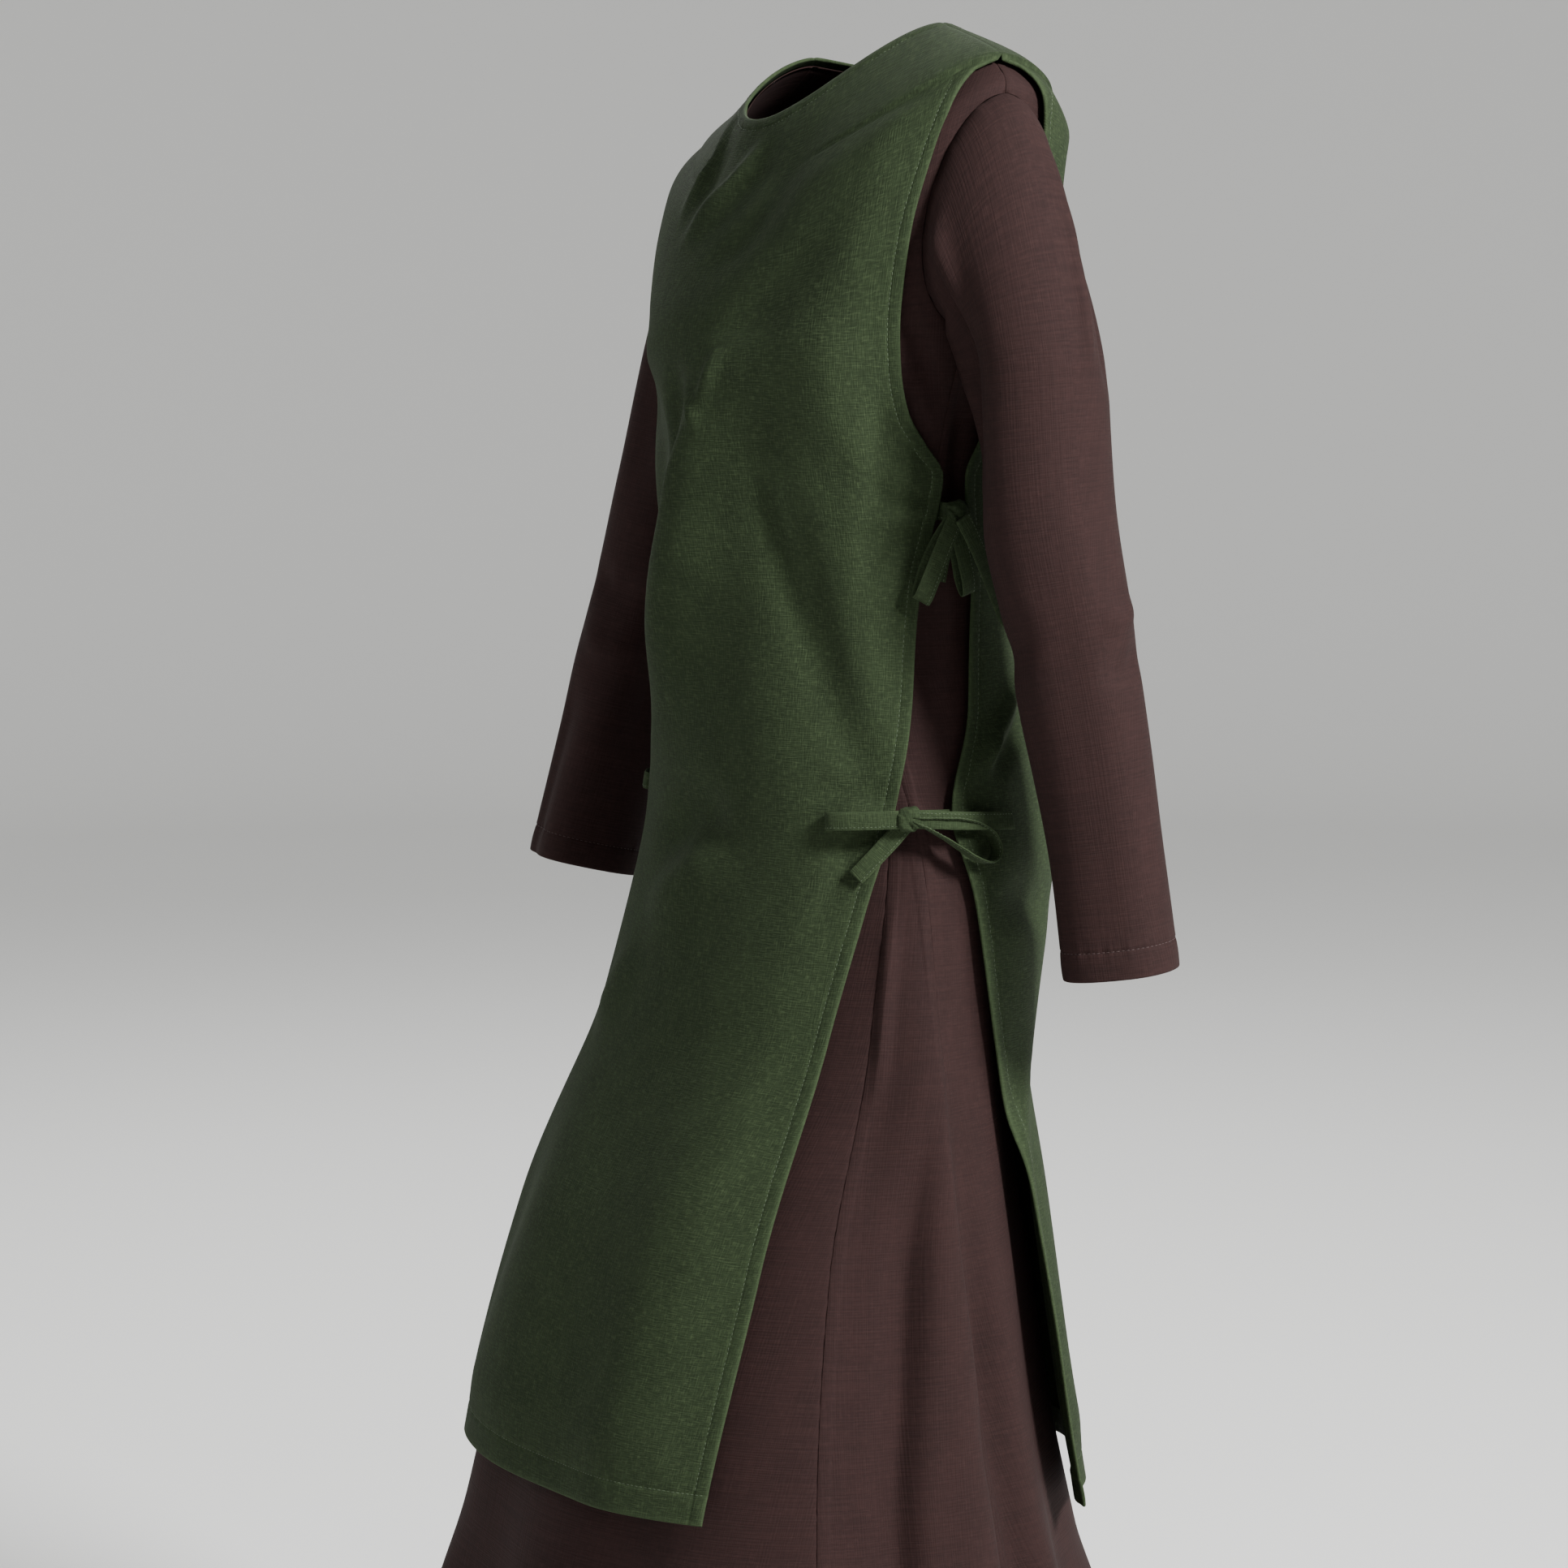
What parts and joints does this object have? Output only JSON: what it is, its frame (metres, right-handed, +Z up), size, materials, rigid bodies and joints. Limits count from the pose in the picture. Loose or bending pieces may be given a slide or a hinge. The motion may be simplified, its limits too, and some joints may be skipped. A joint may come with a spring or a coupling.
{
  "type": "medieval gown: long-sleeved under-gown worn with a sleeveless side-tied overgown",
  "caption": "Ankle-length long-sleeved gown with side gores, worn under a sleeveless tabard-like overgown that bows of tape close at the open sides.",
  "frame": {"origin": "on the middle line, level with the high shoulder points, where the wearer's shoulders hold the gown up", "axes": "+Z up; the garment's front faces -Y; the wearer's left side is at +X"},
  "size_m": [0.6166, 0.5179, 1.3675],
  "materials": {
    "gown_cloth": "matte plain weave, dark reddish brown",
    "overgown_cloth": "matte slubby linen weave, moss green"
  },
  "bodies": {
    "root": {"gown_front": "gown_cloth", "gown_back": "gown_cloth", "gore_left": "gown_cloth", "gore_right": "gown_cloth", "sleeve_left": "gown_cloth", "sleeve_right": "gown_cloth", "over_front": "overgown_cloth", "over_back": "overgown_cloth", "bow_upper_left": "overgown_cloth", "bow_upper_right": "overgown_cloth", "bow_lower_left": "overgown_cloth", "bow_lower_right": "overgown_cloth"}
  },
  "joints": []
}
